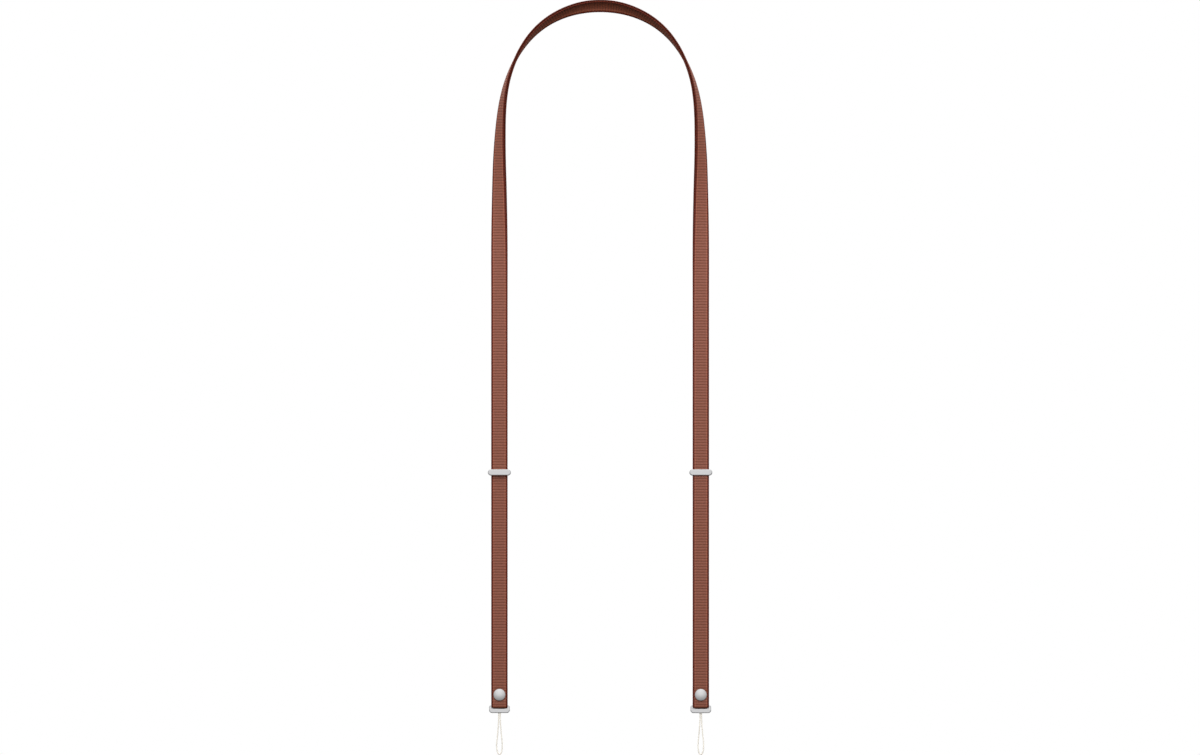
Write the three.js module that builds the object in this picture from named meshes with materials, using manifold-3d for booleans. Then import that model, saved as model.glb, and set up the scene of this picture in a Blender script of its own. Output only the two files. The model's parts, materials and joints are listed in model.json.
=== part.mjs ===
// A crossbody strap, hung over an arch as a shoulder would carry it. Two ribbed webbing bands lie one on the
// other between two sliders. Each band is fixed to the ring at its own end and stops in the slider of the
// other side, so pulling a slider makes the strap longer or shorter. A stud holds each band's fold round its
// ring, and a thin cord loop hangs from each ring.
// Millimetres and degrees; +Z is up, the wearer's front is -Y, and the origin is where the strap hangs.

import * as THREE from 'three';
import { mergeVertices } from 'three/addons/utils/BufferGeometryUtils.js';
import Module from 'manifold-3d';

const solids = await Module();
solids.setup();

// Webbing
const WEBBING_WIDTH = 12.7;
const WEBBING_THICKNESS = 1.3;
const GAP = 0.3; // kept between pieces that lie against each other
const LAYER_PITCH = WEBBING_THICKNESS + GAP;
const STACK = LAYER_PITCH + WEBBING_THICKNESS; // both bands together

// The arch, as arcs from its top outwards, and the straight legs below it
const ARCH = [
  { radius: 74.5, turn: 27 },
  { radius: 66.5, turn: 25 },
  { radius: 83, turn: 12 },
  { radius: 102, turn: 14 },
  { radius: 140, turn: 5 },
  { radius: 230, turn: 3.5 },
  { radius: 600, turn: 3.5 },
];

// The bands' roll about their own line: leaning at the top of the arch, edge-on further down, face-on in the
// legs. The roll's rate rises over the first stretch, stays, and falls over the last.
const ROLL = { atTop: -36.8, inLegs: 90, length: 273, rises: 18, falls: 46 };

// Drops below the arch's top, along the legs
const SLIDER_DROP = 360;
const STUD_DROP = 531.6;
const FOLD_DROP = 542.4; // lowest point of the webbing

// Sliders: rounded sleeves of steel round both bands
const SLIDER = { width: 17.8, height: 5, depth: 5.6, edge: 0.9 };
const SLOT_CORNER = 0.5;

// End rings: a thin bar in the webbing's fold and a deeper bar below it, which holds the cord loop
const RING = {
  width: 16.5, upperBar: 1.3, lowerBar: 3.1, lowerDepth: 2.5, upperCorner: 0.6, lowerCorner: 1.6,
  upperEdge: 0.3, lowerEdge: 0.55,
};
const CORD_POCKET = { width: 2.9, depth: 1.5, height: 1.7 };

// Studs: a domed cap with a post, riveted over a washer behind
const STUD = { radius: 4.6, height: 1.9, rim: 0.45, post: 1.4, washerRadius: 4, washer: 0.8 };

// Cord loops
const CORD_DIAMETER = 0.95;
const CORD_SIDES = 8;
const CORD_STEPS = 40;

// How the pieces follow from these
const FOLD_RADIUS = RING.upperBar / 2 + GAP + WEBBING_THICKNESS / 2; // to the middle of the webbing
const BAR_DROP = FOLD_DROP - FOLD_RADIUS - WEBBING_THICKNESS / 2;
const RING_SLOT = GAP + WEBBING_THICKNESS + GAP;
const RING_BOTTOM = RING.upperBar / 2 + RING_SLOT + RING.lowerBar; // below the middle of the upper bar
const TAIL_RISE = 5; // height over which the folded tail closes up to the band
const TAIL_TOP_DROP = STUD_DROP - 6.6;
const POST_HOLE = STUD.post + GAP;

const FABRIC = new THREE.MeshStandardMaterial({ color: 0x8b5846, roughness: 0.85, metalness: 0 });
const STEEL = new THREE.MeshStandardMaterial({ color: 0xd8d9d6, roughness: 0.32, metalness: 1 });
const CORD = new THREE.MeshStandardMaterial({ color: 0xeeece4, roughness: 0.8, metalness: 0 });

const rad = THREE.MathUtils.degToRad;

// Closed geometry with shared corners, for a boolean
function solidOf(geometry) {
  geometry.deleteAttribute('normal');
  geometry.deleteAttribute('uv');
  const merged = mergeVertices(geometry, 1e-4);
  const mesh = new solids.Mesh({
    numProp: 3,
    vertProperties: merged.attributes.position.array,
    triVerts: new Uint32Array(merged.index.array),
  });
  return new solids.Manifold(mesh);
}

function geometryOf(solid) {
  const { vertProperties, triVerts } = solid.getMesh();
  const geometry = new THREE.BufferGeometry();
  geometry.setAttribute('position', new THREE.BufferAttribute(vertProperties, 3));
  geometry.setIndex(new THREE.BufferAttribute(triVerts, 1));
  geometry.computeVertexNormals();
  return geometry;
}

function piece(name, geometry, material) {
  const mesh = new THREE.Mesh(geometry, material);
  mesh.name = name;
  return mesh;
}

// A rectangle about its own middle, with one radius for its upper corners and one for its lower corners
function roundedRectangle(width, height, upper, lower = upper) {
  const x = width / 2;
  const y = height / 2;
  return new THREE.Shape()
    .moveTo(-x, y - upper)
    .lineTo(-x, -y + lower)
    .absarc(-x + lower, -y + lower, lower, Math.PI, 1.5 * Math.PI)
    .absarc(x - lower, -y + lower, lower, 1.5 * Math.PI, 2 * Math.PI)
    .absarc(x - upper, y - upper, upper, 0, 0.5 * Math.PI)
    .absarc(-x + upper, y - upper, upper, 0.5 * Math.PI, Math.PI);
}

// A front outline given depth from front to back about y = 0, with its edges rounded
function plate(outline, depth, edge, curveSegments = 3) {
  const geometry = new THREE.ExtrudeGeometry(outline, {
    depth: depth - 2 * edge,
    bevelEnabled: true,
    bevelSize: edge,
    bevelThickness: edge,
    bevelOffset: -edge,
    bevelSegments: edge > 0.5 ? 2 : 1,
    curveSegments,
  });
  geometry.translate(0, 0, -depth / 2 + edge);
  geometry.rotateX(Math.PI / 2);
  return geometry;
}

// A plan outline given height about z = 0, as a cutter for an upright slot
function column(outline, height) {
  const settings = { depth: height, bevelEnabled: false, curveSegments: 3 };
  const geometry = new THREE.ExtrudeGeometry(outline, settings);
  geometry.translate(0, 0, -height / 2);
  return geometry;
}

// Where the arch and legs run, s millimetres from the arch's top; s is negative on the left
function centreline(s) {
  const side = Math.sign(s) || 1;
  let left = Math.abs(s);
  let heading = 0;
  let x = 0;
  let drop = 0;
  for (const { radius, turn } of ARCH) {
    const next = heading + Math.min(rad(turn), left / radius);
    x += radius * (Math.sin(next) - Math.sin(heading));
    drop += radius * (Math.cos(heading) - Math.cos(next));
    left -= radius * (next - heading);
    heading = next;
  }
  x += left * Math.cos(heading);
  drop += left * Math.sin(heading);
  return { x: side * x, drop, heading: side * heading };
}

function roll(s) {
  const { atTop, inLegs, length, rises, falls } = ROLL;
  const rate = (inLegs - atTop) / (length - (rises + falls) / 2);
  const u = Math.abs(s);
  if (u < rises) return rad(atTop + (rate * u * u) / (2 * rises));
  if (u < length - falls) return rad(atTop + rate * (u - rises / 2));
  return rad(inLegs - (rate * Math.max(length - u, 0) ** 2) / (2 * falls));
}

const ARCH_LENGTH = ARCH.reduce((sum, { radius, turn }) => sum + radius * rad(turn), 0);
const LEG_START = centreline(ARCH_LENGTH);
const LEG_X = LEG_START.x;
const lineToDrop = (drop) => ARCH_LENGTH + drop - LEG_START.drop;

// A cross-section's place on a band: its middle, the way along the band, and the way out of its outer face
function station(side, u, offset) {
  const line = centreline(side * u);
  const out = new THREE.Vector3(Math.sin(line.heading), 0, Math.cos(line.heading));
  const front = new THREE.Vector3(0, -1, 0);
  const turn = roll(u);
  const face = out.multiplyScalar(Math.cos(turn)).addScaledVector(front, Math.sin(turn));
  const along = new THREE.Vector3(Math.cos(line.heading), 0, -Math.sin(line.heading)).multiplyScalar(side);
  const middle = new THREE.Vector3(line.x, 0, -line.drop).addScaledVector(face, offset);
  return { middle, along, face };
}

// The fold down the front of the ring's bar, under it and up behind, and the tail that the stud holds
function foldStations(side, offset) {
  const x = side * LEG_X;
  const stations = [];
  const foldSteps = 8;
  for (let i = 1; i <= foldSteps; i += 1) {
    const turn = (Math.PI * i) / foldSteps;
    stations.push({
      middle: new THREE.Vector3(
        x,
        -offset + FOLD_RADIUS * (1 - Math.cos(turn)),
        -BAR_DROP - FOLD_RADIUS * Math.sin(turn),
      ),
      along: new THREE.Vector3(0, Math.sin(turn), -Math.cos(turn)),
      face: new THREE.Vector3(0, -Math.cos(turn), -Math.sin(turn)),
    });
  }
  const closes = 2 * FOLD_RADIUS - LAYER_PITCH;
  const riseSteps = 6;
  for (let i = 1; i <= riseSteps; i += 1) {
    const t = i / riseSteps;
    const slope = (-closes * 6 * t * (1 - t)) / TAIL_RISE;
    const along = new THREE.Vector3(0, slope, 1).normalize();
    stations.push({
      middle: new THREE.Vector3(
        x,
        -offset + 2 * FOLD_RADIUS - closes * t * t * (3 - 2 * t),
        -BAR_DROP + TAIL_RISE * t,
      ),
      along,
      face: new THREE.Vector3(0, along.z, -along.y),
    });
  }
  stations.push({
    middle: new THREE.Vector3(x, -offset + LAYER_PITCH, -TAIL_TOP_DROP),
    along: new THREE.Vector3(0, 0, 1),
    face: new THREE.Vector3(0, 1, 0),
  });
  return stations;
}

// A path of chosen stations, whose frames carry the webbing's roll
class WebbingPath extends THREE.Curve {
  constructor(stations) {
    super();
    this.stations = stations;
  }

  getSpacedPoints() {
    return this.stations.map(({ middle }) => middle.clone());
  }

  computeFrenetFrames() {
    return {
      tangents: this.stations.map(({ along }) => along.clone()),
      normals: this.stations.map(({ face }) => face.clone()),
      binormals: this.stations.map(({ along, face }) => new THREE.Vector3().crossVectors(along, face)),
    };
  }
}

// The webbing's cross-section: x through its thickness, y across its width, with rounded edges
function webbingSection() {
  const middle = 0.04; // the faces' middles stand out by this, so that they keep a point there
  const thick = WEBBING_THICKNESS / 2;
  const wide = WEBBING_WIDTH / 2;
  const edge = 0.45;
  return new THREE.Shape([
    new THREE.Vector2(thick, 0),
    new THREE.Vector2(thick - middle, wide - edge),
    new THREE.Vector2(thick * 0.4, wide),
    new THREE.Vector2(-thick * 0.4, wide),
    new THREE.Vector2(middle - thick, wide - edge),
    new THREE.Vector2(-thick, 0),
    new THREE.Vector2(middle - thick, edge - wide),
    new THREE.Vector2(-thick * 0.4, -wide),
    new THREE.Vector2(thick * 0.4, -wide),
    new THREE.Vector2(thick - middle, edge - wide),
  ]);
}

// One band: from inside the slider of the other side, over the arch, to the fold round its own side's ring
function webbing(name, side, offset) {
  const step = 4.4;
  const freeEnd = -lineToDrop(SLIDER_DROP + SLIDER.height / 2 - 0.6);
  const fold = lineToDrop(BAR_DROP);
  const rolled = Math.ceil(ROLL.length / step);
  const stations = [station(side, freeEnd, offset)];
  for (let i = -rolled; i <= rolled; i += 1) stations.push(station(side, (i * ROLL.length) / rolled, offset));
  stations.push(station(side, fold, offset), ...foldStations(side, offset));
  const band = new THREE.ExtrudeGeometry(webbingSection(), {
    steps: stations.length - 1,
    extrudePath: new WebbingPath(stations),
  });
  const hole = new THREE.CylinderGeometry(POST_HOLE, POST_HOLE, 3 * STACK, 16);
  hole.translate(side * LEG_X, -offset, -STUD_DROP);
  return piece(name, geometryOf(solidOf(band).subtract(solidOf(hole))), FABRIC);
}

function slider(name) {
  const { width, height, depth, edge } = SLIDER;
  const body = solidOf(plate(roundedRectangle(width, height, height / 2), depth, edge, 5));
  const slot = roundedRectangle(WEBBING_WIDTH + 2 * GAP, STACK + 2 * GAP, SLOT_CORNER);
  return piece(name, geometryOf(body.subtract(solidOf(column(slot, 2 * height)))), STEEL);
}

// The end ring, about the middle of its upper bar
function ring(name) {
  const { width, upperBar, lowerBar, lowerDepth, upperCorner, lowerCorner, upperEdge, lowerEdge } = RING;
  const height = upperBar + RING_SLOT + lowerBar;
  const frame = roundedRectangle(width, height, upperCorner, lowerCorner);
  const slotMiddle = height / 2 - upperBar - RING_SLOT / 2;
  const slot = roundedRectangle(WEBBING_WIDTH + 2 * GAP, RING_SLOT, SLOT_CORNER).getPoints(3);
  frame.holes.push(new THREE.Path(slot.map(({ x, y }) => new THREE.Vector2(x, y + slotMiddle)).reverse()));
  const frameSolid = solidOf(plate(frame, upperBar, upperEdge));
  const bar = plate(roundedRectangle(width, lowerBar, lowerCorner / 2, lowerCorner), lowerDepth, lowerEdge);
  bar.translate(0, 0, (lowerBar - height) / 2);
  const pocket = column(
    roundedRectangle(CORD_POCKET.width, CORD_POCKET.depth, CORD_POCKET.depth / 2),
    2 * CORD_POCKET.height,
  );
  pocket.translate(0, 0, -height / 2);
  const body = frameSolid.add(solidOf(bar)).subtract(solidOf(pocket));
  const geometry = geometryOf(body);
  geometry.translate(0, 0, (upperBar - height) / 2);
  return piece(name, geometry, STEEL);
}

// The stud's cap and post in one, its dome towards the front, about the face of the webbing that it lies on
function studCap(name) {
  const { radius, height, rim, post, washer } = STUD;
  const postEnd = -(2 * WEBBING_THICKNESS + 3 * GAP + washer);
  const profile = [
    new THREE.Vector2(0, postEnd),
    new THREE.Vector2(post, postEnd),
    new THREE.Vector2(post, 0),
    new THREE.Vector2(radius - 0.2, 0),
  ];
  const domeSteps = 6;
  for (let i = 0; i <= domeSteps; i += 1) {
    const turn = (Math.PI / 2) * (i / domeSteps);
    profile.push(new THREE.Vector2(radius * Math.cos(turn), rim + (height - rim) * Math.sin(turn)));
  }
  profile[profile.length - 1].x = 0;
  const geometry = new THREE.LatheGeometry(profile, 28);
  geometry.rotateX(Math.PI);
  return piece(name, geometry, STEEL);
}

// The washer that the post is riveted over, about the face of the tail that it lies on
function studWasher(name) {
  const { washerRadius, washer } = STUD;
  const profile = [
    new THREE.Vector2(POST_HOLE, 0),
    new THREE.Vector2(washerRadius, 0),
    new THREE.Vector2(washerRadius, washer / 2),
    new THREE.Vector2(washerRadius - 0.5, washer),
    new THREE.Vector2(POST_HOLE, washer),
    new THREE.Vector2(POST_HOLE, 0),
  ];
  return piece(name, new THREE.LatheGeometry(profile, 24), STEEL);
}

// The cord loop's route from one end in the ring's pocket, down, round and back up into it: x, y and z from
// the middle of the ring's underside
const CORD_ROUTE = [
  [-0.6, 0, 1.1],
  [-0.58, 0, -1.5],
  [-0.58, 0, -4.5],
  [-0.74, 0, -7.8],
  [-1.06, 0.05, -12],
  [-1.38, 0.1, -16],
  [-1.82, 0.1, -20],
  [-2.13, 0.05, -24],
  [-2.05, 0, -27.3],
  [-1.6, 0, -29.9],
  [-0.9, 0, -31.3],
  [0, 0, -31.7],
  [0.9, 0, -31.3],
  [1.6, 0, -29.9],
  [2.05, 0, -27.3],
  [2.13, -0.05, -24],
  [1.82, -0.1, -20],
  [1.38, -0.1, -16],
  [1.06, -0.05, -12],
  [0.74, 0, -7.8],
  [0.58, 0, -4.5],
  [0.58, 0, -1.5],
  [0.6, 0, 1.1],
];

function cordLoop(name) {
  const route = new THREE.CatmullRomCurve3(CORD_ROUTE.map((point) => new THREE.Vector3(...point)));
  const section = new THREE.Shape();
  for (let i = 0; i < CORD_SIDES; i += 1) {
    const turn = (2 * Math.PI * i) / CORD_SIDES;
    const corner = [(CORD_DIAMETER / 2) * Math.cos(turn), (CORD_DIAMETER / 2) * Math.sin(turn)];
    if (i) section.lineTo(...corner);
    else section.moveTo(...corner);
  }
  return piece(name, new THREE.ExtrudeGeometry(section, { steps: CORD_STEPS, extrudePath: route }), CORD);
}

// What hangs on one end of the strap: ring, stud and cord loop
function strapEnd(label, side, offset) {
  const end = new THREE.Group();
  end.position.set(side * LEG_X, -offset, 0);
  const cap = studCap(`${label}_stud_cap`);
  cap.position.set(0, -WEBBING_THICKNESS / 2 - GAP, -STUD_DROP);
  const washer = studWasher(`${label}_stud_washer`);
  washer.position.set(0, LAYER_PITCH + WEBBING_THICKNESS / 2 + GAP, -STUD_DROP);
  const endRing = ring(`${label}_end_ring`);
  endRing.position.set(0, FOLD_RADIUS, -BAR_DROP);
  const loop = cordLoop(`${label}_cord_loop`);
  loop.position.set(0, FOLD_RADIUS, -BAR_DROP - RING_BOTTOM);
  end.add(cap, washer, endRing, loop);
  return end;
}

const strap = new THREE.Group();
strap.position.z = STACK / 2 / Math.cos(rad(ROLL.atTop)); // the inner face's top point is the origin
const OUTER = LAYER_PITCH / 2;
const INNER = -LAYER_PITCH / 2;
strap.add(webbing('outer_webbing', 1, OUTER), webbing('inner_webbing', -1, INNER));
strap.add(strapEnd('right', 1, OUTER), strapEnd('left', -1, INNER));
for (const [label, side] of [['left', -1], ['right', 1]]) {
  const sleeve = slider(`${label}_slider`);
  sleeve.position.set(side * LEG_X, 0, -SLIDER_DROP);
  strap.add(sleeve);
}

export default strap;
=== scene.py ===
import json
import math

import bmesh
import bpy
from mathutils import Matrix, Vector

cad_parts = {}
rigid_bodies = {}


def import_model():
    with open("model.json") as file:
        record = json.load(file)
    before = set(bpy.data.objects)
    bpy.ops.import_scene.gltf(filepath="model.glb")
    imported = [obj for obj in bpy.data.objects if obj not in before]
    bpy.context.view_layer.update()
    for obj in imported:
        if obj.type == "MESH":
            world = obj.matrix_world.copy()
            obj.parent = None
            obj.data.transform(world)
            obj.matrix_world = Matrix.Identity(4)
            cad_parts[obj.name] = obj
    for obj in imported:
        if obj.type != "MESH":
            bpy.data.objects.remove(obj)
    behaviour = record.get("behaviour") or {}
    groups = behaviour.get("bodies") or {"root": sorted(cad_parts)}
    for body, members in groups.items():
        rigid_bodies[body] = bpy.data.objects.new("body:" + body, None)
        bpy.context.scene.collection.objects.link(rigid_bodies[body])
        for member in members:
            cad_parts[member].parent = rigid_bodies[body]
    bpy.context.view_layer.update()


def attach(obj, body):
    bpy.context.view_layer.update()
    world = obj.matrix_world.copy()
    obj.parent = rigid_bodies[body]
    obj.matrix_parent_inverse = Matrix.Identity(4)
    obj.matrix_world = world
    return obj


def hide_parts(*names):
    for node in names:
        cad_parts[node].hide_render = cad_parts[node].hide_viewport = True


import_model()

# Camera: a long lens, level with the middle of the hanging strap and square on to it, so far off that both
# legs are seen straight from the front. Its sizes are in metres.
FIELD_WIDTH = 0.9264  # what the view takes in across the strap
AIM_X, AIM_Z = -0.00009, -0.2849
lens = bpy.data.cameras.new("camera")
lens.lens = 200
lens.sensor_width = 36
lens.clip_start = 0.5
lens.clip_end = 60
camera = bpy.data.objects.new("camera", lens)
camera.location = (AIM_X, -FIELD_WIDTH * lens.lens / lens.sensor_width, AIM_Z)
camera.rotation_euler = (math.radians(90), 0, 0)
bpy.context.scene.collection.objects.link(camera)
bpy.context.scene.camera = camera

# Cord loops: a thin round braid of off-white polyester yarn. Both ends of each loop go up side by side into
# the pocket in a ring's lower bar, which holds them, and the loop hangs below it, limp and narrow. The sizes
# are in millimetres from here on.
MM = 0.001
TOP = 1.811  # the middle line of the arch, above the inner face's highest point, where the strap hangs
LEG_X = 77.735  # from the middle of the strap to the middle of each leg
LAYER_PITCH = 1.6  # from the middle of one band to the middle of the other
FRONT_LAYER, BACK_LAYER = -LAYER_PITCH / 2, LAYER_PITCH / 2  # where the legs hang flat
LEGS = (("left", -1, BACK_LAYER), ("right", 1, FRONT_LAYER))  # each with the layer that goes down to its ring
BAR_DROP = 540.15  # of the ring's upper bar, below the arch's middle line
RING_UNDERSIDE = 5.65  # below the middle of the ring's upper bar
FOLD_RADIUS = 1.6  # of a band round the ring's bar
CORD_DIAMETER = 0.95
BRAID_YARNS = 6  # each way round
BRAID_CROSSING = 0.62  # along the cord, from one crossing to the next
BRAID_GAP, YARN_RISE = 0.05, 0.07  # how deep the gaps lie, and how far the yarns rise from them
CORD_SIDES, CORD_STEP = 18, 0.12  # of the cord's skin, round it and along it

# x, y and z from the middle of the ring's underside, from one end in the pocket to the other
CORD_ROUTE = (
    (-0.6, 0, 1.1),
    (-0.58, 0, -1.5),
    (-0.58, 0, -4.5),
    (-0.74, 0, -7.8),
    (-1.06, 0.05, -12),
    (-1.38, 0.1, -16),
    (-1.82, 0.1, -20),
    (-2.13, 0.05, -24),
    (-2.05, 0, -27.3),
    (-1.6, 0, -29.9),
    (-0.9, 0, -31.3),
    (0, 0, -31.7),
    (0.9, 0, -31.3),
    (1.6, 0, -29.9),
    (2.05, 0, -27.3),
    (2.13, -0.05, -24),
    (1.82, -0.1, -20),
    (1.38, -0.1, -16),
    (1.06, -0.05, -12),
    (0.74, 0, -7.8),
    (0.58, 0, -4.5),
    (0.58, 0, -1.5),
    (0.6, 0, 1.1),
)


def linear(hex_colour):
    """An sRGB hex colour as the linear values that shaders and lights take."""
    values = [int(hex_colour[i : i + 2], 16) / 255 for i in (0, 2, 4)]
    return (*((v / 12.92 if v <= 0.04045 else ((v + 0.055) / 1.055) ** 2.4) for v in values), 1)


def material_named(name):
    """A new material, with its node tree and its shader."""
    material = bpy.data.materials.new(name)
    material.use_nodes = True
    return material, material.node_tree, material.node_tree.nodes["Principled BSDF"]


def node(tree, kind, inputs=None, **settings):
    """Adds a node with its settings. An input that is another node's output is linked, any other is set."""
    made = tree.nodes.new(kind)
    for key, value in settings.items():
        setattr(made, key, value)
    for key, value in (inputs or {}).items():
        if isinstance(value, bpy.types.NodeSocket):
            tree.links.new(value, made.inputs[key])
        else:
            made.inputs[key].default_value = value
    return made


def ramp_of(ramp_node, stops):
    """Gives a colour ramp its stops: a position and an sRGB hex colour each."""
    elements = ramp_node.color_ramp.elements
    while len(elements) < len(stops):
        elements.new(1)
    for element, (position, colour) in zip(elements, stops):
        element.position = position
        element.color = linear(colour)
    return ramp_node.outputs["Color"]


def finished(name, shape, material, crisp_from=180):
    """The piece as an object at the origin; edges that turn by crisp_from degrees or more stay crisp."""
    bmesh.ops.recalc_face_normals(shape, faces=shape.faces)
    for face in shape.faces:
        face.smooth = True
    mesh = bpy.data.meshes.new(name)
    shape.to_mesh(mesh)
    shape.free()
    mesh.set_sharp_from_angle(angle=math.radians(crisp_from))
    mesh.materials.append(material)
    piece = bpy.data.objects.new(name, mesh)
    bpy.context.scene.collection.objects.link(piece)
    if crisp_from < 180:
        # keeps flat faces evenly lit beside their rounded rims
        even = piece.modifiers.new("even shading", "WEIGHTED_NORMAL")
        even.keep_sharp = True
    return piece


def flat_skin(around, along):
    """A long thing's skin, still a flat sheet of squares: x counts round it and y along it."""
    skin = bmesh.new()
    bmesh.ops.create_grid(skin, x_segments=around, y_segments=along, size=0.5)
    bmesh.ops.translate(skin, verts=skin.verts, vec=(0.5, 0.5, 0))
    bmesh.ops.scale(skin, verts=skin.verts, vec=(around, along, 1))
    return skin


def close_skin(skin):
    """Joins the skin's long edges, once it is wrapped round, and covers its ends."""
    bmesh.ops.remove_doubles(skin, verts=skin.verts, dist=1e-7)
    bmesh.ops.holes_fill(skin, edges=[edge for edge in skin.edges if edge.is_boundary], sides=0)


def cord_line(middle, step):
    """Points about a step apart down the middle of a cord loop, on one smooth curve through its route."""
    route = [Vector(point) for point in CORD_ROUTE]
    route = [2 * route[0] - route[1], *route, 2 * route[-1] - route[-2]]
    fine, parts = [], 40
    for before, start, end, after in zip(route, route[1:], route[2:], route[3:]):
        for i in range(parts):
            t = i / parts
            bend = (end - before) * t + (2 * before - 5 * start + 4 * end - after) * t**2
            fine.append(start + (bend + (3 * start - before - 3 * end + after) * t**3) / 2)
    fine.append(route[-2])
    reach = [0]
    for a, b in zip(fine, fine[1:]):
        reach.append(reach[-1] + (b - a).length)
    count = round(reach[-1] / step)
    line, at = [], 0
    for i in range(count + 1):
        while at < len(fine) - 2 and reach[at + 1] < reach[-1] * i / count:
            at += 1
        share = (reach[-1] * i / count - reach[at]) / (reach[at + 1] - reach[at])
        line.append((middle + fine[at].lerp(fine[at + 1], share)) * MM)
    return line


cord, tree, shader = material_named("braided_polyester_cord")
# Braided polyester yarn is matt with a soft sheen; painted shade makes the gaps between its yarns a little
# darker.
braid = node(tree, "ShaderNodeAttribute", attribute_name="braid")
yarn_height = node(tree, "ShaderNodeSeparateXYZ", {"Vector": braid.outputs["Vector"]})
shade = ramp_of(
    node(tree, "ShaderNodeValToRGB", {"Fac": yarn_height.outputs["X"]}),
    ((0, "a59e91"), (0.55, "dad5cb")),
)
tree.links.new(shade, shader.inputs["Base Color"])
filaments = node(
    tree,
    "ShaderNodeTexNoise",
    {
        "Vector": node(tree, "ShaderNodeTexCoord").outputs["Object"],
        "Scale": 9000,  # filaments are 0.02 mm; these are drawn at about 0.1 mm
        "Detail": 2,
    },
)
bump = node(
    tree, "ShaderNodeBump", {"Height": filaments.outputs["Fac"], "Strength": 0.4, "Distance": 0.03 * MM}
)
tree.links.new(bump.outputs["Normal"], shader.inputs["Normal"])
shader.inputs["Roughness"].default_value = 0.7
shader.inputs["Sheen Weight"].default_value = 0.25
shader.inputs["Sheen Roughness"].default_value = 0.4

for label, side, layer in LEGS:
    middle = Vector((side * LEG_X, layer + FOLD_RADIUS, TOP - BAR_DROP - RING_UNDERSIDE))
    line = cord_line(middle, CORD_STEP)
    tube = flat_skin(CORD_SIDES, len(line) - 1)
    relief = tube.verts.layers.float_vector.new("braid")
    for vert in tube.verts:
        turn = 2 * math.pi * vert.co.x / CORD_SIDES
        ring = round(vert.co.y)
        slant = math.pi * vert.co.y * CORD_STEP / BRAID_CROSSING
        round_it = BRAID_YARNS * turn / 2
        lift = abs(math.cos(round_it - slant) * math.cos(round_it + slant)) ** 0.5
        along = line[min(ring + 1, len(line) - 1)] - line[max(ring - 1, 0)]
        out = along.cross(Vector((0, 1, 0))).normalized()
        back = along.cross(out).normalized()
        radius = (CORD_DIAMETER / 2 - BRAID_GAP + YARN_RISE * lift) * MM
        vert.co = line[ring] + radius * (math.cos(turn) * out + math.sin(turn) * back)
        vert[relief] = (lift, 0, 0)
    close_skin(tube)
    loop = finished(f"{label}_braided_loop", tube, cord)
    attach(loop, "root")
    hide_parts(f"{label}_cord_loop")

# Webbing: two half-inch bands of red-brown polyester, woven with ribs across and a rounded selvage along each
# edge. They lie face to face, lean at the top of the arch, and turn to face the front lower down. Each is cut
# off inside the slider of the other side, and folds round the bar of the ring on its own side.
WEBBING_WIDTH = 12.7
RIB_PITCH = 2.13
RIB_STEPS = (0, 0.1, 0.27, 0.5, 0.73, 0.9)  # where each rib has its sections, from one valley to the next
RIB_DEPTH, RIB_NOTCH = 0.17, 0.07  # of the valley between two ribs, in the faces and in the edges
CUP_HEIGHT, CUP_LENGTH = 2.4, 92  # how far the bands' middle bulges out at the arch's top, and where it ends
# the arch as stretches that follow each other from its top: radius, and turn in degrees
ARCH = ((74.5, 27), (66.5, 25), (83, 12), (102, 14), (140, 5), (230, 3.5), (600, 3.5))
# how far the bands have turned about their own line, in degrees, and the lengths along it of the whole turn,
# of its start and of its end
ROLL_AT_TOP, ROLL_IN_LEGS, ROLL_LENGTH, ROLL_RISES, ROLL_FALLS = -36.8, 90, 273, 18, 46
# below the arch's middle line
SLIDER_DROP, CUT_DROP, TAIL_TOP_DROP, STUD_DROP = 359.9, 361.9, 525, 531.6
TAIL_RISE = 5  # above the fold, where the tail comes to lie against its band
FOLD_MARGIN, FOLD_STEP = 1, 0.2  # round the fold and this far past it, the sections are this far apart

# a quarter of the section, from the selvage's edge to the middle of the face: the distance from the band's
# middle line, and the height
QUARTER_SECTION = (
    (6.35, 0),
    (6.16, 0.33),
    (5.7, 0.44),
    (5.1, 0.3),
    (4.75, 0.55),
    (4.35, 0.6),
    (3.95, 0.51),
    (3, 0.56),
    (0, 0.59),
)
SELVAGE_FROM = 5  # from the middle, where the ribs of the faces end
SNUG = 0.19  # thicker by this, and smooth, where the two bands lie against each other
DIMPLE_DEPTH, DIMPLE_FROM, DIMPLE_TO = 0.24, 4.5, 6.6  # where a stud or washer is pressed into the webbing


def centreline(s):
    """Where the arch and legs are, s millimetres along from the arch's top: x, drop below it, and heading."""
    side = -1 if s < 0 else 1
    left, heading, x, drop = abs(s), 0, 0, 0
    for radius, turn in ARCH:
        following = heading + min(math.radians(turn), left / radius)
        x += radius * (math.sin(following) - math.sin(heading))
        drop += radius * (math.cos(heading) - math.cos(following))
        left -= radius * (following - heading)
        heading = following
    return side * (x + left * math.cos(heading)), drop + left * math.sin(heading), side * heading


def roll(s):
    """How far the bands have turned about their own line."""
    rate = (ROLL_IN_LEGS - ROLL_AT_TOP) / (ROLL_LENGTH - (ROLL_RISES + ROLL_FALLS) / 2)
    u = abs(s)
    if u < ROLL_RISES:
        return math.radians(ROLL_AT_TOP + rate * u * u / (2 * ROLL_RISES))
    if u < ROLL_LENGTH - ROLL_FALLS:
        return math.radians(ROLL_AT_TOP + rate * (u - ROLL_RISES / 2))
    return math.radians(ROLL_IN_LEGS - rate * max(ROLL_LENGTH - u, 0) ** 2 / (2 * ROLL_FALLS))


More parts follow.
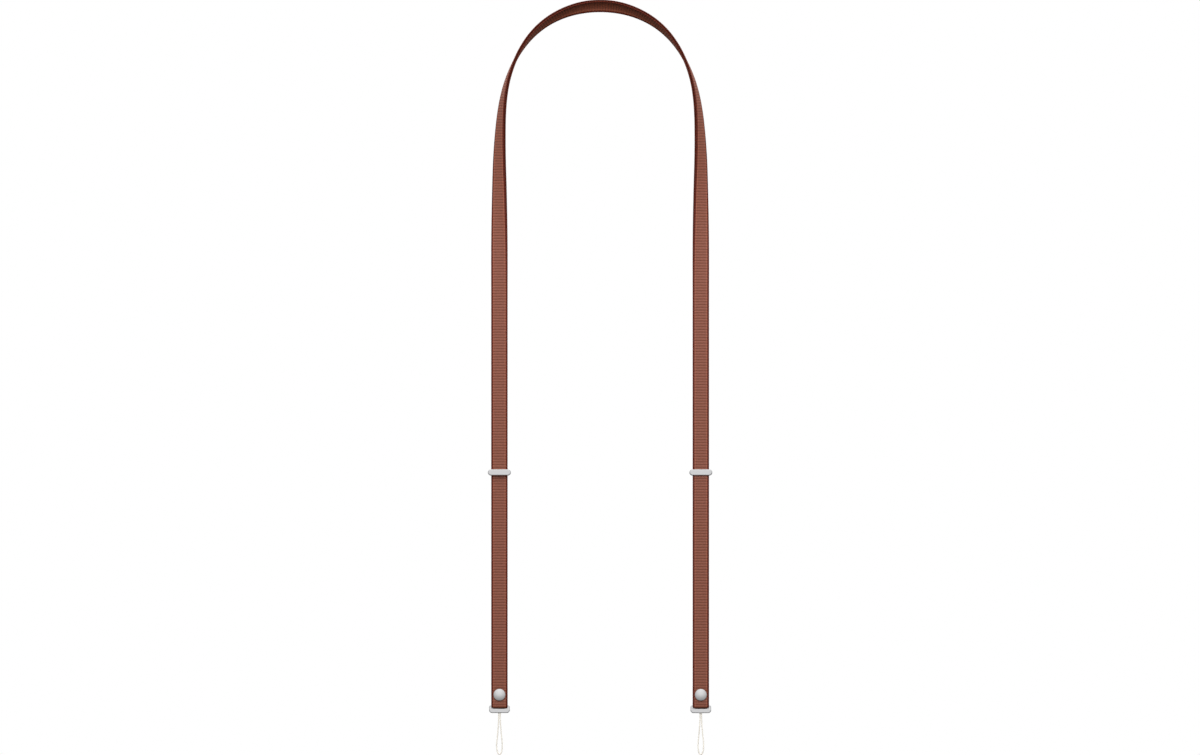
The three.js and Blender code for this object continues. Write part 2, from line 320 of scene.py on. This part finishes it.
ARCH_LENGTH = sum(radius * math.radians(turn) for radius, turn in ARCH)
LEG_START_DROP = centreline(ARCH_LENGTH)[1]
TO_FOLD = ARCH_LENGTH + BAR_DROP - LEG_START_DROP
TO_TAIL = TO_FOLD + math.pi * FOLD_RADIUS
TO_CUT = -(ARCH_LENGTH + CUT_DROP - LEG_START_DROP)
TO_SLIDER = ARCH_LENGTH + SLIDER_DROP - LEG_START_DROP


def band_at(u, side, offset):
    """A band's section, u millimetres towards its own ring: its middle, and the ways along and out of it."""
    if u <= TO_FOLD:
        x, drop, heading = centreline(side * u)
        face = math.cos(roll(u)) * Vector((math.sin(heading), 0, math.cos(heading)))
        face += math.sin(roll(u)) * Vector((0, -1, 0))
        along = side * Vector((math.cos(heading), 0, -math.sin(heading)))
        return Vector((x, 0, TOP - drop)) + offset * face, along, face
    bar = Vector((side * LEG_X, FOLD_RADIUS - offset, TOP - BAR_DROP))
    if u <= TO_TAIL:
        turn = (u - TO_FOLD) / FOLD_RADIUS
        face = Vector((0, -math.cos(turn), -math.sin(turn)))
        return bar + FOLD_RADIUS * face, Vector((0, math.sin(turn), -math.cos(turn))), face
    t = min((u - TO_TAIL) / TAIL_RISE, 1)
    closes = 2 * FOLD_RADIUS - LAYER_PITCH
    along = Vector((0, -closes * 6 * t * (1 - t) / TAIL_RISE, 1)).normalized()
    middle = bar + Vector((0, FOLD_RADIUS - closes * t * t * (3 - 2 * t), u - TO_TAIL))
    return middle, along, Vector((0, along.z, -along.y))


webbing, tree, shader = material_named("ribbed_polyester_webbing")
# Deep red-brown polyester yarn, whose smooth filaments give it a soft broad gloss. Painted shade darkens the
# valleys between the ribs. The selvage is darker, partly for its tight yarn and partly by painted shade, and
# a painted highlight lightens the yarns that stand up beside it.
YARN_PITCH = 0.42  # of the warp
weave = node(tree, "ShaderNodeAttribute", attribute_name="weave")
place = node(tree, "ShaderNodeSeparateXYZ", {"Vector": weave.outputs["Vector"]})
along_it, across_it = place.outputs["X"], place.outputs["Y"]
from_middle = node(tree, "ShaderNodeMath", {0: across_it}, operation="ABSOLUTE")
share_out = node(
    tree, "ShaderNodeMath", {0: from_middle.outputs[0], 1: WEBBING_WIDTH / 2}, operation="DIVIDE"
)
# Colour across the band: the field's own tone, with painted shade on the selvage (besides its darker tight
# yarn) and a painted highlight on the ridge beside it.
tone_with_painted_edge_shade_and_highlight = ramp_of(
    node(tree, "ShaderNodeValToRGB", {"Fac": share_out.outputs[0]}),
    (
        (0, "6e3722"),
        (0.61, "6d3622"),
        (0.64, "7b3f28"),
        (0.745, "7f4129"),
        (0.785, "541b0b"),
        (0.88, "4e1809"),
        (1, "481608"),
    ),
)
to_valley = node(tree, "ShaderNodeMath", {0: along_it, 1: RIB_PITCH / 2}, operation="PINGPONG")
valley = node(
    tree,
    "ShaderNodeMapRange",
    {"Value": to_valley.outputs[0], "From Max": RIB_PITCH / 2, "To Min": 1, "To Max": 0},
)
in_valley = node(tree, "ShaderNodeMath", {0: valley.outputs["Result"], 1: 2.5}, operation="POWER")
streaks = node(
    tree,
    "ShaderNodeVectorMath",
    {0: weave.outputs["Vector"], 1: (0.25, 2.4, 1)},  # each warp yarn is a little its own shade
    operation="MULTIPLY",
)
heather = node(tree, "ShaderNodeTexNoise", {"Vector": streaks.outputs[0], "Scale": 1, "Detail": 3})
# Painted shade: the base colour is darker in the valleys between the ribs; the warp yarns' own random tone is
# added to it below.
painted_rib_shade = node(
    tree, "ShaderNodeMath", {0: in_valley.outputs[0], 1: -0.42, 2: 0.98}, operation="MULTIPLY_ADD"
)
yarn_tone_and_painted_shade = node(
    tree,
    "ShaderNodeMath",
    {0: heather.outputs["Fac"], 1: 0.12, 2: painted_rib_shade.outputs[0]},
    operation="MULTIPLY_ADD",
)
shaded = node(tree, "ShaderNodeHueSaturation", {"Value": yarn_tone_and_painted_shade.outputs[0], "Color": tone_with_painted_edge_shade_and_highlight})
tree.links.new(shaded.outputs["Color"], shader.inputs["Base Color"])
yarn_turn = node(
    tree, "ShaderNodeMath", {0: across_it, 1: 2 * math.pi / YARN_PITCH}, operation="MULTIPLY"
)
yarns = node(tree, "ShaderNodeMath", {0: yarn_turn.outputs[0]}, operation="COSINE")
surface = node(
    tree,
    "ShaderNodeMath",
    {0: yarns.outputs[0], 1: 0.3, 2: heather.outputs["Fac"]},
    operation="MULTIPLY_ADD",
)
bump = node(tree, "ShaderNodeBump", {"Height": surface.outputs[0], "Strength": 0.5, "Distance": 0.05 * MM})
tree.links.new(bump.outputs["Normal"], shader.inputs["Normal"])
gloss = node(tree, "ShaderNodeMapRange", {"Value": in_valley.outputs[0], "To Min": 0.58, "To Max": 0.9})
tree.links.new(gloss.outputs["Result"], shader.inputs["Roughness"])
# In the selvage the same yarns are packed hard and turn every way, so it has next to no gloss.
selvage = webbing.copy()
selvage.name = "matt_polyester_selvage"
selvage.node_tree.nodes["Principled BSDF"].inputs["Specular IOR Level"].default_value = 0.12

quarter = [Vector(point) for point in QUARTER_SECTION]
front_half = quarter + [Vector((-across, height)) for across, height in QUARTER_SECTION[-2::-1]]
outline = front_half + [Vector((-across, -height)) for across, height in front_half[1:-1]]

to_end = TO_TAIL + BAR_DROP - TAIL_TOP_DROP
ribs = range(math.ceil(TO_CUT / RIB_PITCH), math.floor(to_end / RIB_PITCH))
stations = [(rib + step) * RIB_PITCH for rib in ribs for step in RIB_STEPS]
stations = [u for u in stations if not TO_FOLD - FOLD_MARGIN < u < TO_TAIL + FOLD_MARGIN]
fold_sections = round((TO_TAIL - TO_FOLD + 2 * FOLD_MARGIN) / FOLD_STEP) + 1
stations += [TO_CUT, to_end, *(TO_FOLD - FOLD_MARGIN + FOLD_STEP * i for i in range(fold_sections))]

for name, side, offset in (("outer", 1, LAYER_PITCH / 2), ("inner", -1, -LAYER_PITCH / 2)):
    sections = []
    for u in sorted(stations):
        middle, along, face = band_at(u, side, offset)
        sections.append((u, middle, face, along.cross(face)))
    band = flat_skin(len(outline), len(sections) - 1)
    woven = band.verts.layers.float_vector.new("weave")
    for vert in band.verts:
        u, middle, face, width = sections[round(vert.co.y)]
        across, height = outline[round(vert.co.x) % len(outline)]
        hollow = (abs((u / RIB_PITCH) % 1 - 0.5) * 2) ** 3
        if height * side < 0 and u < TO_SLIDER:
            height *= 1 + SNUG / QUARTER_SECTION[-1][1]
        elif abs(across) < SELVAGE_FROM:
            height -= math.copysign(RIB_DEPTH * hollow, height)
        else:
            across -= math.copysign(RIB_NOTCH * hollow, across)
        from_stud = math.hypot(across, middle.z - TOP + STUD_DROP)
        near_stud = (DIMPLE_TO - from_stud) / (DIMPLE_TO - DIMPLE_FROM)
        if height > 0 and near_stud > 0:
            height -= DIMPLE_DEPTH * math.sin(math.pi / 2 * min(near_stud, 1)) ** 2
        bulge = CUP_HEIGHT * math.cos(math.pi / 2 * min(abs(u) / CUP_LENGTH, 1)) ** 2
        bulge *= 1 - (2 * across / WEBBING_WIDTH) ** 2
        vert.co = (middle + (height + bulge) * face + across * width) * MM
        vert[woven] = (u, across, height)
    for face in band.faces:
        if abs(sum(vert[woven].y for vert in face.verts)) > len(face.verts) * SELVAGE_FROM:
            face.material_index = 1  # the selvage's
    close_skin(band)
    strip = finished(f"{name}_ribbed_band", band, webbing)
    strip.data.materials.append(selvage)
    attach(strip, "root")
    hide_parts(f"{name}_webbing")

# Sliders: flat sleeves with round ends, cast in stainless steel and tumbled to a satin finish. Both bands go
# into the slot: one runs on down the leg, and the other ends inside.
SLIDER_WIDTH, SLIDER_HEIGHT, SLIDER_DEPTH, SLIDER_EDGE = 17.8, 5, 5.6, 0.9
SLOT_WIDTH, SLOT_DEPTH, SLOT_CORNER = 13.3, 3.5, 0.5

steel, tree, shader = material_named("satin_stainless_steel")
# Tumbled stainless steel reflects broadly, with no grain, and is a little uneven from touch.
surface = node(tree, "ShaderNodeTexCoord").outputs["Object"]
tumbled = node(tree, "ShaderNodeTexNoise", {"Vector": surface, "Scale": 3500, "Detail": 2})
bump = node(
    tree, "ShaderNodeBump", {"Height": tumbled.outputs["Fac"], "Strength": 0.1, "Distance": 0.01 * MM}
)
tree.links.new(bump.outputs["Normal"], shader.inputs["Normal"])
touched = node(tree, "ShaderNodeTexNoise", {"Vector": surface, "Scale": 260, "Detail": 3})
uneven = node(
    tree, "ShaderNodeMapRange", {"Value": touched.outputs["Fac"], "To Min": 0.24, "To Max": 0.36}
)
tree.links.new(uneven.outputs["Result"], shader.inputs["Roughness"])
shader.inputs["Base Color"].default_value = linear("e6e6e7")
shader.inputs["Metallic"].default_value = 1


def rounded(block, edges, radius, segments):
    """Rounds some of a block's edges."""
    bmesh.ops.bevel(
        block,
        geom=edges,
        offset=radius,
        offset_type="OFFSET",
        segments=segments,
        profile=0.5,
        affect="EDGES",
        clamp_overlap=False,
        material=-1,
    )


def block_through(width, depth, height, upper, lower, segments=5):
    """A block seen from the front, with a radius for its upper corners and one for its lower corners."""
    block = bmesh.new()
    bmesh.ops.create_cube(block, size=1)
    bmesh.ops.scale(block, verts=block.verts, vec=(width, depth, height))
    for radius, half in ((upper, 1), (lower, -1)):
        corners = [
            edge
            for edge in block.edges
            if abs((edge.verts[0].co - edge.verts[1].co).y) > depth / 2
            and all(vert.co.z * half > 0 and abs(vert.co.x) > width / 2 - 1e-4 for vert in edge.verts)
        ]
        rounded(block, corners, radius, segments)
    bmesh.ops.remove_doubles(block, verts=block.verts, dist=1e-3)
    return block


def bar_of_steel(width, depth, height, upper, lower, rim, segments=5):
    """The same with its front and back rims rounded."""
    block = block_through(width, depth - 2 * rim, height, upper, lower, segments)
    block.normal_update()
    for end in [face for face in block.faces if abs(face.normal.y) > 0.99]:
        for i in range(segments):
            before, after = (math.radians(90 * j / segments) for j in (i, i + 1))
            bmesh.ops.inset_region(
                block,
                faces=[end],
                thickness=rim * (math.cos(before) - math.cos(after)),
                depth=rim * (math.sin(after) - math.sin(before)),
                use_even_offset=True,
                use_boundary=True,
            )
    return block


def combined(body, other, operation):
    """Joins or cuts one closed shape with another."""
    made = []
    for shape in (body, other):
        mesh = bpy.data.meshes.new("shape")
        shape.to_mesh(mesh)
        shape.free()
        made.append(bpy.data.objects.new("shape", mesh))
        bpy.context.scene.collection.objects.link(made[-1])
    boolean = made[0].modifiers.new("boolean", "BOOLEAN")
    boolean.operation = operation
    boolean.object = made[1]
    boolean.solver = "EXACT"
    result = bmesh.new()
    result.from_object(made[0], bpy.context.evaluated_depsgraph_get())
    for each in made:
        bpy.data.meshes.remove(each.data)
    return result


def eased(shape, radius, least_turn):
    """Eases the crisp edges that a cut leaves."""
    bmesh.ops.remove_doubles(shape, verts=shape.verts, dist=1e-4)
    bmesh.ops.dissolve_limit(shape, angle_limit=0.002, verts=shape.verts, edges=shape.edges)
    crisp = [
        edge
        for edge in shape.edges
        if len(edge.link_faces) == 2 and edge.calc_face_angle() > math.radians(least_turn)
    ]
    rounded(shape, crisp, radius, 2)


def put(shape, x, y, z):
    """Moves a shape that is drawn in millimetres about its own middle to its place on the strap."""
    bmesh.ops.translate(shape, verts=shape.verts, vec=(x, y, TOP + z))
    bmesh.ops.scale(shape, verts=shape.verts, vec=(MM, MM, MM))


def slot_cutter(width, depth, height, radius):
    """An upright cutter for a slot with round corners in plan."""
    cutter = bmesh.new()
    bmesh.ops.create_cube(cutter, size=1)
    bmesh.ops.scale(cutter, verts=cutter.verts, vec=(width, depth, height))
    upright = [e for e in cutter.edges if abs((e.verts[0].co - e.verts[1].co).z) > height / 2]
    rounded(cutter, upright, radius, 4)
    return cutter


for label, side, _ in LEGS:
    end = SLIDER_HEIGHT / 2
    sleeve = bar_of_steel(SLIDER_WIDTH, SLIDER_DEPTH, SLIDER_HEIGHT, end, end, SLIDER_EDGE, segments=8)
    slot = slot_cutter(SLOT_WIDTH, SLOT_DEPTH, 2 * SLIDER_HEIGHT, SLOT_CORNER)
    sleeve = combined(sleeve, slot, "DIFFERENCE")
    eased(sleeve, radius=0.12, least_turn=50)
    put(sleeve, side * LEG_X, 0, -SLIDER_DROP)
    slider = finished(f"{label}_slider_sleeve", sleeve, steel, crisp_from=40)
    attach(slider, "root")
    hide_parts(f"{label}_slider")

# End rings: cast in one piece of the same steel. The webbing is folded round the thin upper bar, and the
# deeper lower bar has a pocket in its underside, which holds both ends of the cord loop.
RING_WIDTH, UPPER_BAR, LOWER_BAR, LOWER_DEPTH, RING_SLOT = 16.1, 1.3, 3.5, 2.5, 1.5
INTO_BAR = 1.2  # how far the ring's sides go down into its lower bar
RIGHT_THROUGH = 4  # the depth of a cutter that leaves nothing in front or behind


def raised(shape, rise):
    """Moves a shape up, or down where rise is negative."""
    bmesh.ops.translate(shape, verts=shape.verts, vec=(0, 0, rise))
    return shape


for label, side, layer in LEGS:
    # heights are counted from the middle of the upper bar
    bar_top = -UPPER_BAR / 2 - RING_SLOT
    height = UPPER_BAR + RING_SLOT + INTO_BAR
    frame = bar_of_steel(RING_WIDTH - 0.1, UPPER_BAR, height, upper=1.8, lower=0.6, rim=0.58)
    opening = block_through(SLOT_WIDTH, RIGHT_THROUGH, height, upper=0.5, lower=0.3)
    frame = raised(frame, (UPPER_BAR - height) / 2)
    frame = combined(frame, raised(opening, -(UPPER_BAR + height) / 2), "DIFFERENCE")
    eased(frame, radius=0.15, least_turn=60)
    bar = bar_of_steel(RING_WIDTH, LOWER_DEPTH, LOWER_BAR, upper=0.75, lower=2.4, rim=0.7, segments=6)
    pocket = slot_cutter(width=2.9, depth=1.5, height=3.4, radius=0.74)
    bar = raised(bar, bar_top - LOWER_BAR / 2)
    bar = combined(bar, raised(pocket, bar_top - LOWER_BAR), "DIFFERENCE")
    whole = combined(frame, bar, "UNION")
    bmesh.ops.remove_doubles(whole, verts=whole.verts, dist=1e-4)
    bmesh.ops.dissolve_limit(whole, angle_limit=0.002, verts=whole.verts, edges=whole.edges)
    put(whole, side * LEG_X, layer + FOLD_RADIUS, -BAR_DROP)
    ring = finished(f"{label}_ring_of_steel", whole, steel, crisp_from=40)
    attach(ring, "root")
    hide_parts(f"{label}_end_ring")

# Studs: a domed steel cap with a post goes through the band and its folded tail, and its end is riveted over
# a washer behind, so that the fold can't open.
CAP_RADIUS, CAP_RIM, CAP_EDGE = 4.6, 0.4, 0.3  # the rim stands this high and rounds over into the dome
CAP_SLOPE = 26  # of the dome where it meets the rim, in degrees
EDGE_STEPS, DOME_STEPS = 4, 12
POST_RADIUS, POST_END = 1.4, 4.3
WASHER_RADIUS, WASHER_FACE = 4, 0.8
POST_HOLE = POST_RADIUS + 0.02  # in the washer
PRESSED_IN = 0.5  # how far the cap's back and the washer's face lie beyond the webbing's, in its dimple
CAP_SEAT, WASHER_SEAT = -0.95, 2.55  # behind the middle of the band


def spun(profile, steps):
    """A shape turned round the line from front to back. A profile is radii and distances behind its seat."""
    shape = bmesh.new()
    verts = [shape.verts.new((radius, back, 0)) for radius, back in profile]
    edges = [shape.edges.new(pair) for pair in zip(verts, verts[1:])]
    bmesh.ops.spin(
        shape,
        geom=verts + edges,
        cent=(0, 0, 0),
        axis=(0, 1, 0),
        angle=2 * math.pi,
        steps=steps,
        use_merge=True,
    )
    bmesh.ops.remove_doubles(shape, verts=shape.verts, dist=1e-4)
    return shape


for label, side, layer in LEGS:
    profile = [
        (0, POST_END),
        (POST_RADIUS, POST_END),
        (POST_RADIUS, PRESSED_IN),
        (CAP_RADIUS - 0.2, PRESSED_IN),
        (CAP_RADIUS - 0.05, PRESSED_IN - 0.06),
        (CAP_RADIUS, PRESSED_IN - 0.2),
    ]
    slope = math.radians(CAP_SLOPE)
    for i in range(EDGE_STEPS + 1):
        turn = (math.pi / 2 - slope) * i / EDGE_STEPS
        out = CAP_RIM - CAP_EDGE * math.cos(slope) + CAP_EDGE * math.sin(turn)
        profile.append((CAP_RADIUS - CAP_EDGE * (1 - math.cos(turn)), -out))
    edge_radius, edge_back = profile.pop()
    dome_radius = edge_radius / math.sin(slope)
    for i in range(DOME_STEPS):
        turn = slope * (1 - i / DOME_STEPS)
        rise = dome_radius * (math.cos(turn) - math.cos(slope))
        profile.append((dome_radius * math.sin(turn), edge_back - rise))
    profile.append((0, edge_back - dome_radius * (1 - math.cos(slope))))
    cap = spun(profile, 48)
    put(cap, side * LEG_X, layer + CAP_SEAT, -STUD_DROP)
    stud = finished(f"{label}_stud_dome", cap, steel, crisp_from=50)
    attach(stud, "root")
    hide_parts(f"{label}_stud_cap")

    profile = [
        (POST_HOLE, -PRESSED_IN),
        (WASHER_RADIUS - 0.12, -PRESSED_IN),
        (WASHER_RADIUS, 0.12 - PRESSED_IN),
        (WASHER_RADIUS, 0.45),
        (WASHER_RADIUS - 0.08, 0.62),
        (WASHER_RADIUS - 0.25, 0.74),
        (WASHER_RADIUS - 0.6, WASHER_FACE),
        (2.15, WASHER_FACE),  # from here to the middle, the post's end, hammered over
        (2.1, 0.95),
        (1.75, 1.14),
        (1.1, 1.26),
        (0, 1.3),
        (0, 0.9),
        (POST_HOLE, 0.9),
        (POST_HOLE, -PRESSED_IN),
    ]
    washer = spun(profile, 40)
    put(washer, side * LEG_X, layer + WASHER_SEAT, -STUD_DROP)
    back = finished(f"{label}_riveted_washer", washer, steel, crisp_from=50)
    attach(back, "root")
    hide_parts(f"{label}_stud_washer")

# The room, in metres: a plain pale floor that fades out some way off, white beyond it, and soft studio light
# from above, in front and behind. Little light comes back up from below, so the arch's underside is in shade.
FLOOR_RADIUS, FLOOR_Z = 2.6, -0.8
floor_shape = bmesh.new()
bmesh.ops.create_circle(floor_shape, cap_ends=True, segments=96, radius=FLOOR_RADIUS)
raised(floor_shape, FLOOR_Z)
paper, tree, shader = material_named("pale_studio_floor")
# Matt white paper; it thins out to nothing towards its rim.
spot = node(tree, "ShaderNodeTexCoord").outputs["Object"]
from_centre = node(tree, "ShaderNodeVectorMath", {0: spot, 1: (1, 1, 0)}, operation="MULTIPLY")
distance = node(tree, "ShaderNodeVectorMath", {0: from_centre.outputs[0]}, operation="LENGTH")
fade = node(
    tree,
    "ShaderNodeMapRange",
    {"Value": distance.outputs["Value"], "From Min": 0.7, "From Max": 2.5, "To Min": 1, "To Max": 0},
    interpolation_type="SMOOTHSTEP",
)
tree.links.new(fade.outputs["Result"], shader.inputs["Alpha"])
shader.inputs["Base Color"].default_value = linear("f2f1ee")
shader.inputs["Roughness"].default_value = 0.9
floor = finished("studio_floor", floor_shape, paper)
floor.visible_diffuse = False
floor.visible_glossy = False

world = bpy.data.worlds.new("studio")
bpy.context.scene.world = world
world.use_nodes = True
tree = world.node_tree
way = node(
    tree, "ShaderNodeSeparateXYZ", {"Vector": node(tree, "ShaderNodeTexCoord").outputs["Generated"]}
)
upward = node(
    tree, "ShaderNodeMapRange", {"Value": way.outputs["Z"], "From Min": -1, "From Max": 1}
)
walls = ramp_of(
    node(tree, "ShaderNodeValToRGB", {"Fac": upward.outputs["Result"]}),
    (
        (0, "101010"),
        (0.05, "484848"),
        (0.117, "999999"),
        (0.28, "b5b5b5"),
        (0.4, "d1d1d1"),
        (0.5, "e5e5e5"),
        (0.67, "ececec"),
        (0.85, "f2f2f2"),
        (1, "ffffff"),
    ),
)
# What shines in the strap from the sides is dimmer, and so is what shines in it from low behind.
ray = node(tree, "ShaderNodeLightPath")
sideways = node(tree, "ShaderNodeMath", {0: way.outputs["X"], 1: way.outputs["X"]}, operation="MULTIPLY")
in_gloss = node(
    tree, "ShaderNodeMath", {0: sideways.outputs[0], 1: ray.outputs["Is Glossy Ray"]}, operation="MULTIPLY"
)
sides = node(
    tree, "ShaderNodeMath", {0: in_gloss.outputs[0], 1: -0.72, 2: 1.12}, operation="MULTIPLY_ADD"
)
low_behind = node(
    tree, "ShaderNodeMath", {0: way.outputs["Z"], 1: -1.2, 2: way.outputs["Y"]}, operation="MULTIPLY_ADD"
)
behind = node(
    tree,
    "ShaderNodeMapRange",
    {"Value": low_behind.outputs[0], "From Min": 0.7, "From Max": 1.2, "To Min": 1, "To Max": 0.1},
)
shining = node(
    tree, "ShaderNodeMath", {0: sides.outputs[0], 1: behind.outputs["Result"]}, operation="MULTIPLY"
)
# Soft light from below the horizon is weak.
below = node(
    tree,
    "ShaderNodeMapRange",
    {"Value": way.outputs["Z"], "From Min": -0.4, "From Max": 0.2, "To Min": -0.85, "To Max": 0},
)
from_floor = node(
    tree,
    "ShaderNodeMath",
    {0: below.outputs["Result"], 1: ray.outputs["Is Diffuse Ray"], 2: 1},
    operation="MULTIPLY_ADD",
)
strength = node(
    tree, "ShaderNodeMath", {0: shining.outputs[0], 1: from_floor.outputs[0]}, operation="MULTIPLY"
)
room_light = node(tree, "ShaderNodeBackground", {"Color": walls, "Strength": strength.outputs[0]})
white = node(tree, "ShaderNodeBackground", {"Color": (1, 1, 1, 1), "Strength": 1})
both = node(
    tree,
    "ShaderNodeMixShader",
    {0: ray.outputs["Is Camera Ray"], 1: room_light.outputs[0], 2: white.outputs[0]},
)
tree.links.new(both.outputs[0], tree.nodes["World Output"].inputs["Surface"])

# Flags keep every softbox off the steel, which shows the room and the panel behind alone, and keep the back
# softbox's glare off the cloth.
AIMED_AT = Vector((0, 0, -0.2))
SOFTBOX_HEIGHT = 1
cloth, metal = (bpy.data.collections.new(name) for name in ("cloth", "metal"))
for piece in bpy.context.scene.collection.objects:
    if piece.type == "MESH" and piece != floor:
        is_cloth = piece.name.endswith(("_ribbed_band", "_braided_loop"))
        (cloth if is_cloth else metal).objects.link(piece)
for name, place, width, watts, lit, shines in (
    ("front_softbox", (0, -0.9, 0.28), 2.2, 19, cloth, True),
    ("left_softbox", (-1, -0.3, 0.7), 0.8, 7.5, cloth, True),
    ("right_softbox", (1, -0.3, 0.7), 0.8, 7.5, cloth, True),
    ("back_softbox", (0, 1.2, 0.6), 2.2, 30, cloth, False),
    ("back_panel", (0, 1.3, -0.1), 2.4, 5, metal, True),
):
    softbox = bpy.data.lights.new(name, "AREA")
    softbox.shape = "RECTANGLE"
    softbox.size = width
    softbox.size_y = SOFTBOX_HEIGHT
    softbox.energy = watts
    held = bpy.data.objects.new(name, softbox)
    held.location = place
    held.rotation_euler = (Vector(place) - AIMED_AT).to_track_quat("Z", "Y").to_euler()
    held.light_linking.receiver_collection = lit
    held.visible_glossy = shines
    bpy.context.scene.collection.objects.link(held)

bpy.context.scene.view_settings.view_transform = "Standard"
bpy.context.scene.view_settings.look = "None"
